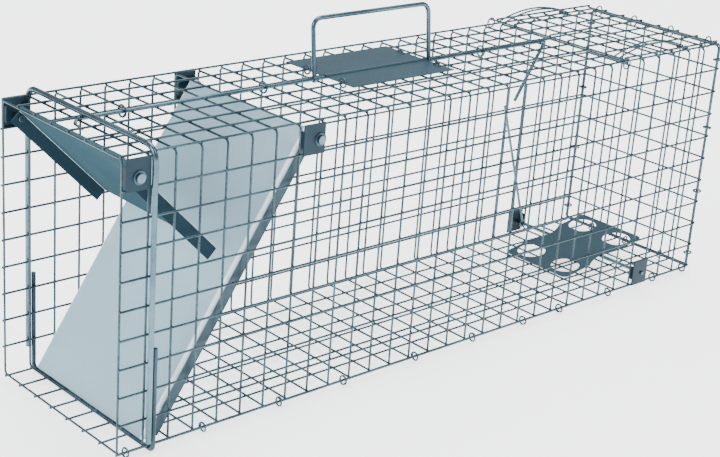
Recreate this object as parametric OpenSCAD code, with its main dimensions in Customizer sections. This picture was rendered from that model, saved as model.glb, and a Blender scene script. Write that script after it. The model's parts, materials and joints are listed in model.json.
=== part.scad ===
// Live catch trap: a one-door cage of welded wire mesh with a drop door, a lock plate that
// braces the closed door, a trip pan with its arm, a trigger rod along the top, a folding
// carry handle over a hand guard and a mesh bait door at the rear, held by two spring latches.
//
// Frame: +X runs along the cage from the entrance to the rear, +Y from the near side to the
// far side, +Z up. Cell (i, j, k) of the mesh starts at [i, j, k] * pitch from the cage corner.

/* [Mesh] */
// Spacing of the mesh wires, centre to centre
pitch = 25.4; // [25:0.1:26]
// Diameter of the mesh wire
wire_d = 2; // [1.8:0.1:2.2]
// Radius of the folds along the cage's long edges
fold_r = 4; // [3:0.5:5]

/* [Drop door] */
// Slope of the closed door, from the horizontal
door_slope = 57; // [56:0.5:58]
// Length of the door's face, in cells
door_cells = 11.68; // [11.4:0.01:11.7]
// Width of the door over its flanges
door_w = 168; // [164:1:169]
// Depth of the door's flanges
door_flange = 13.5; // [12:0.5:14]

/* [Lock plate] */
// Slope of the lowered lock plate, from the horizontal
lock_slope = 45; // [44:0.5:46]
// Length of the lock plate from its pivot, in cells
lock_cells = 4.6; // [4.2:0.1:4.6]
// Width of the lock plate over its flanges
lock_w = 166; // [162:1:168]
// Depth of the lock plate's flanges
lock_flange = 12.7; // [11:0.1:13]

/* [Rods] */
// Diameter of the front frame loop
loop_d = 5; // [4.5:0.1:5]
// Diameter of the floor brace rod
brace_d = 4; // [3.5:0.1:4]
// Diameter of the carry handle
handle_d = 4.4; // [4:0.1:4.8]
// Diameter of the trigger rod
trigger_d = 3.6; // [3.2:0.1:3.6]
// Diameter of the pan's pivot rod
pan_rod_d = 4; // [3.6:0.1:4.4]
// Diameter of the trip arm
arm_d = 3; // [2.6:0.1:3.2]

/* [Trip pan] */
// Length of the pan along the cage
pan_l = 130; // [110:1:132]
// Width of the pan across the cage
pan_w = 89; // [80:1:100]
// Diameter of the pan's four holes
pan_hole_d = 31; // [26:1:32]
// Tilt of the set pan, rear edge up
pan_tilt = 9; // [8:0.5:9.5]

/* [Sheet] */
// Thickness of the door, the lock plate and the pan
sheet_t = 1; // [0.8:0.1:1.2]
// Thickness of the brackets
bracket_t = 1.2; // [1:0.1:1.4]

/* [Hidden] */
$fn = 32;

cells_l = 30;
cells_w = 7;
cells_h = 10;
cage_l = cells_l * pitch;
cage_w = cells_w * pitch;
cage_h = cells_h * pitch;

slip = 0.05;            // gap at each weld, and the running clearance of each pivot
joint_gap = 0.02;       // gap between the straight and the bent stretches of one wire
wire_r = wire_d / 2;
layer = wire_d + slip;  // step from the ring wires to the long wires that lie outside them
skin = layer + wire_r;  // outside of the long wires, from the ring wires' centres
edge_inset = 1.5;       // long wires beside a fold sit this far in from the corner

// The rear panel lies behind the last ring wire: upright wires, then level ones.
rear_x = cage_l + layer;
rear_end = rear_x + skin;
ground_z = -skin - slip - brace_d;

// Bait door: it covers the rear of the top.
hatch_from = 24;        // first open cell of the top
hatch_z = cage_h + skin + slip + wire_r;
hatch_lines = [23.75, 24.75, 25.75, 26.75, 27.75, 28.75, 29.75];
hinge_x = hatch_lines[6] * pitch;

// Pivots, as [x, z].
lock_pivot = [0.53, 9.39] * pitch;
door_pivot = [7.74, 9.46] * pitch;
pan_pivot = [26.6, 0.45] * pitch;
pin_r = 2.4;
pin_head_r = 4;
pin_tail_r = 3.1;       // riveted end, inside the sheet
washer_r = 6;
washer_t = 1;

// Trigger rod: it lies on the ring wires, beside the fourth long wire.
trigger_y = 4 * pitch - 4.6;
trigger_z = cage_h + wire_r + slip + trigger_d / 2;
trigger_front = 0.88 * pitch;
crank_lean = 32;        // the crank leans forward from the vertical
crank_top = 23 * pitch + 0.8;
crank_end_z = 7.75 * pitch;
crank_bend = 3.2;
hook_d = 2;
hook_end_z = 9.74 * pitch;

// Carry handle.
handle_x = [10.8, 16.55] * pitch;
handle_rise = 2.18 * pitch;
handle_bend = 9;
handle_lean = 7;
foot_r = 3.4;
foot_t = 3.4;

// Hand guard over the trigger rod.
guard_x = [11.3, 16.38] * pitch;
guard_y = [2.25, 6.05] * pitch;
guard_z = cage_h + skin + slip;
guard_t = 0.9;
ridge_r = trigger_d / 2 + 0.3;
guard_ring_x = [11.46, 16.2] * pitch;
guard_ring_y = [3, 5] * pitch;
ring_r = 4;             // bending radius of the rings that hold the guard
ring_wire_r = 0.9;
rear_ring_r = layer + wire_r + ring_wire_r + 0.1;

// The origin is at the middle of the footprint, on the ground.
origin_shift = [-(rear_x + rear_ring_r + ring_wire_r - wire_r) / 2, -cage_w / 2, -ground_z];

// Spring latches of the bait door.
latch_d = 1.8;
latch_legs = [5.5, 12.5];       // where its two legs lie across the cage
latch_bar_out = -6.6;           // outer end of its cross bar
latch_pivot_x = hatch_lines[4] * pitch;
latch_tip_x = hatch_lines[0] * pitch - wire_r - 1.9 - latch_d / 2;
latch_rise = 9;                 // height of the latch's bow

// Trip pan's holes, from its centre, and the trip arm.
pan_hole_x = 43;
pan_hole_y = 25;
pan_set_back = 4;       // the pan's centre lies this far in front of its rod
arm_y = cage_w - 6;
arm_tip = [21.45, 4.02, 7.5] * pitch;

// A straight round bar from a to b.
module bar(a, b, d) {
    v = b - a;
    length = norm(v);
    translate(a)
        rotate([0, acos(v[2] / length), atan2(v[1], v[0])])
            cylinder(d = d, h = length);
}

// A bent bar in the XY plane about the origin: from angle a0, turning by sweep.
module bend(r, d, a0, sweep) {
    rotate([0, 0, a0])
        rotate_extrude(angle = sweep)
            translate([r, 0])
                circle(d = d);
}

// Turns the XY plane into the YZ plane, or into the XZ plane.
module in_yz() { rotate([90, 0, 90]) children(); }
module in_xz() { rotate([90, 0, 0]) children(); }

// A closed ring of bent wire around the X direction.
module wire_ring(r) {
    rotate([0, 90, 0])
        rotate_extrude()
            translate([r, 0])
                circle(r = ring_wire_r);
}

module long_wire(y, z, x0 = -wire_r, x1 = cage_l + wire_r) {
    bar([x0, y, z], [x1, y, z], wire_d);
}

module place() { translate(origin_shift) children(); }

// ---- Cage ----

// Floor: the ring wires, their folds up to the far side, and the long wires under them.
module cage_floor() {
    color([0.36, 0.47, 0.53]) place() {
        for (i = [0 : cells_l]) {
            bar([i * pitch, -wire_r, 0], [i * pitch, cage_w - fold_r - joint_gap, 0], wire_d);
            translate([i * pitch, cage_w - fold_r, fold_r])
                in_yz() bend(fold_r, wire_d, -90, 90);
        }
        for (j = [0 : cells_w])
            long_wire(j * pitch - (j == cells_w ? edge_inset : 0), -layer);
    }
}

module cage_far_side() {
    color([0.36, 0.47, 0.53]) place() {
        for (i = [0 : cells_l])
            bar([i * pitch, cage_w, fold_r + joint_gap],
                [i * pitch, cage_w, cage_h - fold_r - joint_gap], wire_d);
        for (k = [1 : cells_h - 1])
            long_wire(cage_w + layer, k * pitch);
    }
}

// Top: as the floor, with a fold at both sides, and open under the bait door.
module cage_top() {
    color([0.36, 0.47, 0.53]) place() {
        for (i = [0 : cells_l]) {
            if (i <= hatch_from || i == cells_l)
                bar([i * pitch, fold_r + joint_gap, cage_h],
                    [i * pitch, cage_w - fold_r - joint_gap, cage_h], wire_d);
            translate([i * pitch, cage_w - fold_r, cage_h - fold_r])
                in_yz() bend(fold_r, wire_d, 0, 90 - slip);
            translate([i * pitch, fold_r, cage_h - fold_r])
                in_yz() bend(fold_r, wire_d, 90 + slip, 90 - slip);
        }
        for (j = [1 : cells_w - 1])
            long_wire(j * pitch, cage_h + layer, x1 = hatch_from * pitch + wire_r);
        for (y = [edge_inset, cage_w - edge_inset])
            long_wire(y, cage_h + layer);
    }
}

module cage_near_side() {
    color([0.36, 0.47, 0.53]) place() {
        for (i = [0 : cells_l])
            bar([i * pitch, 0, wire_r + slip],
                [i * pitch, 0, cage_h - fold_r - joint_gap], wire_d);
        for (k = [0 : cells_h - 1])
            long_wire(-layer, k * pitch);
    }
}

module rear_panel() {
    color([0.36, 0.47, 0.53]) place() {
        for (j = [0 : cells_w])
            bar([rear_x, j * pitch, -wire_r], [rear_x, j * pitch, cage_h + wire_r], wire_d);
        for (k = [0 : cells_h])
            bar([rear_x + layer, -wire_r, k * pitch],
                [rear_x + layer, cage_w + wire_r, k * pitch], wire_d);
    }
}

// Rings that close the seam along the cage's lower near edge.
module seam_rings() {
    color([0.42, 0.53, 0.6]) place()
        for (i = [0.3, 3.4, 6.7, 9.7, 13.3, 16.4, 19.3, 21.5, 24.6, 27.6, 29.7])
            translate([i * pitch, -1, -1]) wire_ring(ring_r);
}

// Rings that tie the rear panel to the last ring wires: two on each upright edge, and
// three below.
module rear_panel_rings() {
    color([0.42, 0.53, 0.6]) place() {
        for (y = [0, cage_w])
            for (k = [0.6, 3.5, 6.4, 9.4])
                translate([cage_l + 1, y, k * pitch])
                    rotate([0, 90, 0]) wire_ring(ring_r);
        for (j = [1.5, 3.5, 5.5])
            translate([rear_x, j * pitch, 0])
                rotate([0, 0, 90]) wire_ring(rear_ring_r);
    }
}

// ---- Front frame ----

loop_x = 1.07 * pitch;
loop_y = skin + slip + loop_d / 2;
loop_z = trigger_z + (trigger_d + loop_d) / 2 + 2 * slip;
loop_bend = 12;
loop_foot = [0.15, 0.7] * pitch;

// Loop over the entrance: two legs outside the mesh and a bar over the top.
module front_frame_loop() {
    y0 = -loop_y;
    y1 = cage_w + loop_y;
    color([0.55, 0.66, 0.72]) place() {
        bar([loop_x, y0, loop_foot[0]], [loop_x, y0, loop_z - loop_bend - joint_gap], loop_d);
        bar([loop_x, y1, loop_foot[1]], [loop_x, y1, loop_z - loop_bend - joint_gap], loop_d);
        bar([loop_x, y0 + loop_bend + joint_gap, loop_z],
            [loop_x, y1 - loop_bend - joint_gap, loop_z], loop_d);
        translate([loop_x, y0 + loop_bend, loop_z - loop_bend])
            in_yz() bend(loop_bend, loop_d, 90, 90);
        translate([loop_x, y1 - loop_bend, loop_z - loop_bend])
            in_yz() bend(loop_bend, loop_d, 0, 90);
    }
}

brace_x = 1.27 * pitch;
brace_y = skin + slip + brace_d / 2;
brace_bend = 5;
brace_top = 3.5 * pitch;

// Rod bent to a U under the floor, with a short leg up each side.
module floor_brace_rod() {
    y0 = -brace_y;
    y1 = cage_w + brace_y;
    color([0.3, 0.42, 0.5]) place() {
        for (y = [y0, y1])
            bar([brace_x, y, brace_bend - brace_y + joint_gap], [brace_x, y, brace_top], brace_d);
        bar([brace_x, y0 + brace_bend + joint_gap, -brace_y],
            [brace_x, y1 - brace_bend - joint_gap, -brace_y], brace_d);
        translate([brace_x, y0 + brace_bend, brace_bend - brace_y])
            in_yz() bend(brace_bend, brace_d, 180, 90);
        translate([brace_x, y1 - brace_bend, brace_bend - brace_y])
            in_yz() bend(brace_bend, brace_d, 270, 90);
    }
}

// ---- Brackets, pins and washers ----

bracket_out = skin + slip;      // inner face of a bracket, outside the near side's mesh
tab_edge = 2.2;                 // from the ring wire to a tab
tab_end = 5.3;                  // from the cell's edge to a tab's end, past its long wires
tab_depth = 4.6;

// One bracket fills the mesh cell (i, k) on the near side: a plate over the long wires with a
// tab down each upright edge, and a hole for its pivot.
module bracket(i, k, pivot, hole_r) {
    difference() {
        union() {
            translate([i * pitch + wire_r, -bracket_out - bracket_t, k * pitch - 1])
                cube([pitch - 2 * wire_r, bracket_t, pitch + 2]);
            for (x = [tab_edge, pitch - tab_edge - bracket_t])
                translate([i * pitch + x, -bracket_out - bracket_t, k * pitch + tab_end])
                    cube([bracket_t, tab_depth + bracket_t, pitch - 2 * tab_end]);
        }
        translate([pivot[0], 1, pivot[1]])
            rotate([90, 0, 0]) cylinder(r = hole_r, h = bracket_out + bracket_t + 2);
    }
}

module on_far_side() { translate([0, cage_w, 0]) mirror([0, 1, 0]) children(); }

pin_hole_r = pin_r + slip;
pan_hole_r = pan_rod_d / 2 + slip;

module lock_bracket_near() {
    color([0.2, 0.36, 0.44]) place() bracket(0, 9, lock_pivot, pin_hole_r);
}

module lock_bracket_far() {
    color([0.2, 0.36, 0.44]) place() on_far_side() bracket(0, 9, lock_pivot, pin_hole_r);
}

module door_bracket_near() {
    color([0.2, 0.36, 0.44]) place() bracket(7, 9, door_pivot, pin_hole_r);
}

module door_bracket_far() {
    color([0.2, 0.36, 0.44]) place() on_far_side() bracket(7, 9, door_pivot, pin_hole_r);
}

module pan_bracket_near() {
    color([0.2, 0.36, 0.44]) place() bracket(26, 0, pan_pivot, pan_hole_r);
}

module pan_bracket_far() {
    color([0.2, 0.36, 0.44]) place() on_far_side() bracket(26, 0, pan_pivot, pan_hole_r);
}

door_side = (cage_w - door_w) / 2;
lock_side = (cage_w - lock_w) / 2;
pin_head_t = 2;
pin_seat = bracket_out + bracket_t + slip + washer_t + slip;

// Pin with a flat head outside and a smaller one inside, turned towards the near side.
module pin(pivot, reach) {
    translate([pivot[0], 0, pivot[1]]) rotate([90, 0, 0]) {
        translate([0, 0, -reach]) cylinder(r = pin_r, h = reach + pin_seat + pin_head_t / 2);
        translate([0, 0, pin_seat]) cylinder(r = pin_head_r, h = pin_head_t);
        translate([0, 0, -reach - pin_head_t]) cylinder(r = pin_tail_r, h = pin_head_t);
    }
}

module lock_pins() {
    reach = lock_side + sheet_t + 2 * slip;
    color([0.6, 0.68, 0.72]) place() {
        pin(lock_pivot, reach);
        on_far_side() pin(lock_pivot, reach);
    }
}

module door_pins() {
    reach = door_side + sheet_t + 2 * slip;
    color([0.6, 0.68, 0.72]) place() {
        pin(door_pivot, reach);
        on_far_side() pin(door_pivot, reach);
    }
}

module washer(pivot) {
    translate([pivot[0], -bracket_out - bracket_t - slip, pivot[1]])
        rotate([90, 0, 0])
            difference() {
                cylinder(r = washer_r, h = washer_t);
                translate([0, 0, -1]) cylinder(r = pin_hole_r, h = washer_t + 2);
            }
}

module pin_washers() {
    color([0.45, 0.56, 0.62]) place() {
        washer(lock_pivot);
        washer(door_pivot);
        on_far_side() washer(lock_pivot);
        on_far_side() washer(door_pivot);
    }
}

// ---- Drop door ----

door_face = 0.45 * pitch;       // outside of the door's face, from its pivot
door_top = 0.15 * pitch;        // the face runs this far past the pivot
door_corner = 4.4;              // outer radius of the fold between face and flange
ear_r = 7;                      // the flange widens to an ear around the pivot
floor_gap = 0.5;

// A rectangle from y = -depth to 0 with its two upper corners rounded.
module rounded_top(w, depth, corner) {
    translate([-w / 2, -depth]) square([w, depth - corner]);
    translate([-w / 2 + corner, -depth]) square([w - 2 * corner, depth]);
    for (s = [-1, 1])
        translate([s * (w / 2 - corner), -corner]) circle(r = corner);
}

// Outline across a folded sheet: a face with a flange turned back at each side.
module folded_sheet(w, depth, corner) {
    difference() {
        rounded_top(w, depth, corner);
        translate([0, -sheet_t]) rounded_top(w - 2 * sheet_t, depth, corner - sheet_t);
    }
}

// Sets children on a slope: their Z runs along d from the pivot, and their Y along n.
module on_slope(pivot, d, n) {
    multmatrix([
        [0, n[0], d[0], pivot[0]],
        [n[1] * d[0] - n[0] * d[1], 0, 0, cage_w / 2],
        [0, n[1], d[1], pivot[1]],
        [0, 0, 0, 1]
    ]) children();
}

module across(pivot, r) {
    translate([pivot[0], -10, pivot[1]]) rotate([-90, 0, 0]) cylinder(r = r, h = cage_w + 20);
}

module door_panel() {
    d = [-cos(door_slope), -sin(door_slope)];
    n = [-sin(door_slope), cos(door_slope)];
    color([0.66, 0.75, 0.79]) place() difference() {
        union() {
            on_slope(door_pivot, d, n)
                translate([0, door_face, -door_top])
                    linear_extrude(height = door_cells * pitch)
                        folded_sheet(door_w, door_flange, door_corner);
            for (y = [door_side, cage_w - door_side - sheet_t])
                translate([door_pivot[0], y, door_pivot[1]])
                    rotate([-90, 0, 0]) cylinder(r = ear_r, h = sheet_t);
        }
        across(door_pivot, pin_hole_r);
        translate([-2 * pitch, -pitch, wire_r + floor_gap - 3 * pitch])
            cube([6 * pitch, cage_w + 2 * pitch, 3 * pitch]);
    }
}

// ---- Lock plate ----

lock_face = 4 + sheet_t / 2;    // upper face of the plate, from its pivot
lock_top = 5.5;                 // the plate runs this far past the pivot
lock_corner = 1.6;
lip_lean = 28;                  // the lip leans forward from the vertical
lip_rise = 8;

// The plate, with a flange down each side and a lip along its front edge.
module lock_plate() {
    d = [cos(lock_slope), -sin(lock_slope)];
    n = [sin(lock_slope), cos(lock_slope)];
    front = lock_pivot - lock_top * d + (lock_face - sheet_t / 2) * n;
    color([0.33, 0.5, 0.58]) place() difference() {
        union() {
            on_slope(lock_pivot, d, n)
                translate([0, lock_face, -lock_top])
                    linear_extrude(height = lock_top + lock_cells * pitch)
                        folded_sheet(lock_w, lock_flange, lock_corner);
            translate([front[0], lock_side + lock_corner, front[1]])
                rotate([0, -lip_lean, 0])
                    translate([-sheet_t / 2, 0, 0])
                        cube([sheet_t, lock_w - 2 * lock_corner, lip_rise]);
        }
        across(lock_pivot, pin_hole_r);
    }
}

// ---- Carry handle ----

// Moves children to the trigger rod's line, where the handle leans a little to the far side.
module at_handle() {
    translate([0, trigger_y, trigger_z]) rotate([-handle_lean, 0, 0]) children();
}

// Bent rod with a flattened eye at each foot, around the trigger rod.
module carry_handle() {
    x0 = handle_x[0];
    x1 = handle_x[1];
    top = handle_rise - handle_bend;
    color([0.5, 0.62, 0.69]) place() at_handle() {
        for (x = handle_x) {
            translate([x - foot_t / 2, 0, 0])
                rotate([0, 90, 0])
                    difference() {
                        cylinder(r = foot_r, h = foot_t);
                        translate([0, 0, -1]) cylinder(r = trigger_d / 2 + slip, h = foot_t + 2);
                    }
            bar([x, 0, foot_r + joint_gap], [x, 0, top - joint_gap], handle_d);
        }
        bar([x0 + handle_bend + joint_gap, 0, handle_rise],
            [x1 - handle_bend - joint_gap, 0, handle_rise], handle_d);
        translate([x0 + handle_bend, 0, top]) in_xz() bend(handle_bend, handle_d, 90, 90);
        translate([x1 - handle_bend, 0, top]) in_xz() bend(handle_bend, handle_d, 0, 90);
    }
}

// Sheet over the trigger rod, with a ridge for the rod and holes for its four rings.
module handle_guard() {
    length = guard_x[1] - guard_x[0];
    color([0.3, 0.46, 0.54]) place() difference() {
        translate([guard_x[0], 0, 0]) in_yz()
            linear_extrude(height = length) difference() {
                union() {
                    translate([guard_y[0], guard_z])
                        square([guard_y[1] - guard_y[0], guard_t]);
                    translate([trigger_y, trigger_z]) circle(r = ridge_r + guard_t);
                }
                translate([trigger_y, trigger_z]) circle(r = ridge_r);
                translate([guard_y[0] - 1, guard_z - 10])
                    square([guard_y[1] - guard_y[0] + 2, 10]);
            }
        for (x = guard_ring_x, y = guard_ring_y, s = [-1, 1])
            translate([x, y + s * 3.8, guard_z - 1]) cylinder(r = 1.9, h = guard_t + 2);
    }
}

module guard_rings() {
    color([0.42, 0.53, 0.6]) place()
        for (x = guard_ring_x, y = guard_ring_y)
            translate([x, y, cage_h + layer + 0.2]) wire_ring(ring_r);
}

// Rings that hold the trigger rod to the long wire beside it.
module trigger_rod_rings() {
    color([0.42, 0.53, 0.6]) place()
        for (i = [2.6, 8.5, 19.5])
            translate([i * pitch, trigger_y + 1.9, trigger_z - 0.3]) wire_ring(ring_r + 1.05);
}

// ---- Trigger rod ----

// Rod along the top, bent down through the mesh to a sloping crank.
module trigger_rod() {
    end_x = crank_top + crank_bend * cos(crank_lean);
    end_z = trigger_z - crank_bend - crank_bend * sin(crank_lean);
    drop = end_z - crank_end_z;
    color([0.42, 0.55, 0.62]) place() translate([0, trigger_y, 0]) {
        bar([trigger_front, 0, trigger_z], [crank_top - joint_gap, 0, trigger_z], trigger_d);
        translate([crank_top, 0, trigger_z - crank_bend])
            in_xz() bend(crank_bend, trigger_d, -crank_lean, 90 + crank_lean);
        bar([end_x - 0.01, 0, end_z - joint_gap],
            [end_x - drop * tan(crank_lean), 0, crank_end_z], trigger_d);
    }
}

// Hook of doubled wire at the front of the rod, down between the first two ring wires.
module trigger_hook() {
    x = trigger_front - hook_d / 2 - slip;
    color([0.42, 0.55, 0.62]) place()
        for (s = [-1, 1]) translate([0, trigger_y + s * (hook_d / 2 + joint_gap), 0]) {
            bar([x, 0, trigger_z], [x - 2.2, 0, cage_h - 0.6], hook_d);
            bar([x - 2.15, 0, cage_h - 1.7], [x + 5.2, 0, hook_end_z], hook_d);
        }
}

// ---- Trip pan ----

module pan_frame() {
    translate([pan_pivot[0], cage_w / 2, pan_pivot[1]]) rotate([0, -pan_tilt, 0]) children();
}

// Flat sheet on the pivot rod, with rounded corners, a narrow waist and four holes.
module trip_pan() {
    corner = 6;
    waist_r = 47.6;
    color([0.3, 0.46, 0.54]) place() pan_frame()
        translate([-pan_set_back, 0, pan_rod_d / 2 + slip])
            linear_extrude(height = sheet_t) difference() {
                union() {
                    square([pan_l, pan_w - 2 * corner], center = true);
                    square([pan_l - 2 * corner, pan_w], center = true);
                    for (sx = [-1, 1], sy = [-1, 1])
                        translate([sx * (pan_l / 2 - corner), sy * (pan_w / 2 - corner)])
                            circle(r = corner);
                }
                for (s = [-1, 1])
                    translate([0, s * (pan_w / 2 - 6.5 + waist_r)]) circle(r = waist_r);
                for (sx = [-1, 1], sy = [-1, 1])
                    translate([sx * pan_hole_x, sy * pan_hole_y]) circle(d = pan_hole_d);
            }
}

module pan_pivot_rod() {
    out = bracket_out + bracket_t + 1.6;
    color([0.42, 0.55, 0.62]) place()
        bar([pan_pivot[0], -out, pan_pivot[1]], [pan_pivot[0], cage_w + out, pan_pivot[1]],
            pan_rod_d);
}

// Arm from an eye on the pivot rod, diagonally up to the crank.
module trip_arm() {
    eye = pan_rod_d / 2 + slip + arm_d / 2;
    foot = [pan_pivot[0], arm_y, pan_pivot[1]];
    tip = [arm_tip[0], arm_tip[1], arm_tip[2]];
    u = (tip - foot) / norm(tip - foot);
    color([0.42, 0.55, 0.62]) place() {
        translate(foot) rotate([90, 0, 0]) rotate_extrude() translate([eye, 0]) circle(d = arm_d);
        bar(foot + (eye + arm_d / 2 + 0.2) * u, tip, arm_d);
    }
}

// ---- Bait door ----

// Mesh door over the rear of the top: cross wires below, long wires above.
module bait_door() {
    color([0.36, 0.47, 0.53]) place() {
        for (i = hatch_lines)
            bar([i * pitch, -wire_r, hatch_z], [i * pitch, cage_w + wire_r, hatch_z], wire_d);
        for (j = [0 : cells_w])
            long_wire(j * pitch, hatch_z + layer, hatch_lines[0] * pitch - wire_r,
                      hinge_x + wire_r);
    }
}

// Rings around the last cross wire of the bait door and the cage's last ring wire.
module bait_door_hinge_clips() {
    color([0.42, 0.53, 0.6]) place()
        for (j = [0.5, 2.5, 4.5, 6.5])
            translate([(hinge_x + cage_l) / 2, j * pitch, (hatch_z + cage_h) / 2])
                rotate([90, 0, 0]) rotate_extrude() translate([5.7, 0]) circle(r = 0.8);
}

// ---- Spring latches ----

// An upward bow of round bar in the XZ plane, from a to b, as [x, z].
module bow(a, b, rise, d) {
    v = b - a;
    half_chord = norm(v) / 2;
    r = (half_chord * half_chord + rise * rise) / (2 * rise);
    half = asin(half_chord / r);
    tilt = atan2(v[1], v[0]);
    centre = (a + b) / 2 + (r - rise) * [sin(tilt), -cos(tilt)];
    translate([centre[0], 0, centre[1]]) in_xz() bend(r, d, 90 + tilt - half, 2 * half);
}

// Latch of the near side: two bowed legs from coils on a cross wire, a cross bar over the
// cage's edge and a pull ring on its end.
module latch() {
    coil = wire_r + slip + latch_d / 2;
    tip = [latch_tip_x, hatch_z + 0.9];
    ring = 5;
    for (y = latch_legs) {
        translate([latch_pivot_x, y, hatch_z])
            rotate([90, 0, 0]) rotate_extrude() translate([coil, 0]) circle(d = latch_d);
        translate([0, y, 0])
            bow(tip + [latch_d / 2 + joint_gap, 0.2],
                [latch_pivot_x, hatch_z + coil + latch_d / 2 + 0.9], latch_rise, latch_d);
    }
    bar([tip[0], latch_bar_out, tip[1]], [tip[0], latch_legs[1] + latch_d / 2, tip[1]], latch_d);
    translate([tip[0], latch_bar_out + 1.2, tip[1] - ring + 0.8 + latch_d / 2 + slip])
        rotate([90, 0, 0]) rotate_extrude() translate([ring, 0]) circle(r = 0.8);
}

module latch_near() { color([0.3, 0.42, 0.5]) place() latch(); }

module latch_far() { color([0.3, 0.42, 0.5]) place() on_far_side() latch(); }

cage_floor();
cage_far_side();
cage_top();
cage_near_side();
rear_panel();
seam_rings();
rear_panel_rings();
front_frame_loop();
floor_brace_rod();
lock_bracket_near();
lock_bracket_far();
door_bracket_near();
door_bracket_far();
pan_bracket_near();
pan_bracket_far();
lock_pins();
door_pins();
pin_washers();
handle_guard();
guard_rings();
trigger_rod_rings();
door_panel();
lock_plate();
carry_handle();
trigger_rod();
trigger_hook();
trip_pan();
pan_pivot_rod();
trip_arm();
bait_door();
bait_door_hinge_clips();
latch_near();
latch_far();
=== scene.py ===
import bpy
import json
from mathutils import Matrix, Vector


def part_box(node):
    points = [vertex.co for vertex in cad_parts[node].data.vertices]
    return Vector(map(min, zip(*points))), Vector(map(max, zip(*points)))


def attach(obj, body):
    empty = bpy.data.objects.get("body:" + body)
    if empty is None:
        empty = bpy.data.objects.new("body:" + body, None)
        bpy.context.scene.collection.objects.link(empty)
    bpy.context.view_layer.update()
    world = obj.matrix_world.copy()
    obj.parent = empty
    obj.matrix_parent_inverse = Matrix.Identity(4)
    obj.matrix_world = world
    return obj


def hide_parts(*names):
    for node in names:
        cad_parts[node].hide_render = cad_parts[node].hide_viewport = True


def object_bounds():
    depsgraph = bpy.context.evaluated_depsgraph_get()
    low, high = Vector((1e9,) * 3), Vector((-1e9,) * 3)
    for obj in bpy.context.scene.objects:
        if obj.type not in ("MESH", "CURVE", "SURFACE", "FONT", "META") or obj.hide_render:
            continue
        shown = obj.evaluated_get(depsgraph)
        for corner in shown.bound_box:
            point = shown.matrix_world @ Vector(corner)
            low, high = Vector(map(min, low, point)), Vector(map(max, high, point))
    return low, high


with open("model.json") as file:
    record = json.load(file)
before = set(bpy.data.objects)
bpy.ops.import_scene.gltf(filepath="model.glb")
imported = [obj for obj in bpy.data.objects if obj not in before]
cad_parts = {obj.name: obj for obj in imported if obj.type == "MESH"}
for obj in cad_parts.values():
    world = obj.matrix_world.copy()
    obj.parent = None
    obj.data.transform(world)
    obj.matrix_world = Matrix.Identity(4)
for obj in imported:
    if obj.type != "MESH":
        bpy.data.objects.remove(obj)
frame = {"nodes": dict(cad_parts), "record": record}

"""Looks of a live catch trap, built around its CAD frame.

Lengths are in millimetres from the cage's lower near front corner, where the first cross
wire's centre lies, and Cage.row turns them into the frame's metres.
"""

import json
import logging
import math
from dataclasses import dataclass, field
from enum import Enum
from typing import Iterable, Sequence

import bmesh
import bpy
import numpy as np
from mathutils import Euler, Vector

CAD_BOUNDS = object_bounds()
SHARP_DEG = 50      # edges of new surfaces sharper than this stay hard
PART_SHARP_DEG = 32  # and those of the cut and pressed parts
DOME_RING_R = 0.72  # the dome's smaller ring, in radii of the bar
DOME_RING_OUT = 0.6  # and how far out it lies, as a share of the dome
BEAD_SIDES = 6
BEAD_BELT = 0.9     # latitude of a bead's outer rings, in radians
NO_TRIS = np.zeros((0, 3), int)
log = logging.getLogger("live_catch_trap")

Array = np.ndarray
Triple = tuple[float, float, float]


def closed(count: int) -> tuple[Array, Array]:
    """Gives the numbers of a closed line's points, and the next number to each."""
    here = np.arange(count)
    return here, (here + 1) % count


def stand(name: str, data: bpy.types.ID) -> bpy.types.Object:
    """Sets a new object in the scene, at the origin.

    Args:
        name: Name of the object.
        data: Its mesh, light or camera.

    Returns:
        The object.
    """
    obj = bpy.data.objects.new(name, data)
    bpy.context.scene.collection.objects.link(obj)
    return obj


# ---- Cage measures ----


@dataclass(frozen=True)
class Cage:
    """Measures that every sub-assembly shares, in millimetres from the cage's corner."""

    pitch: float = 25.4
    long_cells: int = 30
    wide_cells: int = 7
    high_cells: int = 10
    wire_r: float = 1.0
    fold_r: float = 4.0
    gap: float = 0.05
    inset: float = 1.5
    open_from: int = 24
    rod_line: int = 4
    rod_beside: float = 4.6
    rod_r: float = 1.8

    @property
    def length(self) -> float:
        """Length over the cross wires' centres."""
        return self.long_cells * self.pitch

    @property
    def width(self) -> float:
        """Width over the cross wires' centres."""
        return self.wide_cells * self.pitch

    @property
    def height(self) -> float:
        """Height over the cross wires' centres."""
        return self.high_cells * self.pitch

    @property
    def layer(self) -> float:
        """Step from a cross wire's centre to that of a long wire outside it."""
        return 2 * self.wire_r + self.gap

    @property
    def skin(self) -> float:
        """Distance from a cross wire's centre to the outside of the long wires."""
        return self.layer + self.wire_r

    @property
    def hatch_z(self) -> float:
        """Height of the bait door's cross wires."""
        return self.height + self.skin + self.gap + self.wire_r

    @property
    def rod(self) -> tuple[float, float]:
        """Line of the trigger rod, as y and z."""
        return (self.rod_line * self.pitch - self.rod_beside,
                self.height + self.wire_r + self.gap + self.rod_r)

    def row(self, points: Array) -> Array:
        """Turns millimetres from the corner into the frame's metres.

        Args:
            points: Points as rows of x, y and z.

        Returns:
            The same points in metres, in the frame.
        """
        low = np.array(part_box("cage_floor")[0]) * 1000
        corner = low + np.array([self.wire_r, self.wire_r, self.skin])
        return (np.asarray(points, float) + corner) / 1000


CAGE = Cage()


# ---- Surfaces ----


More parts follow.
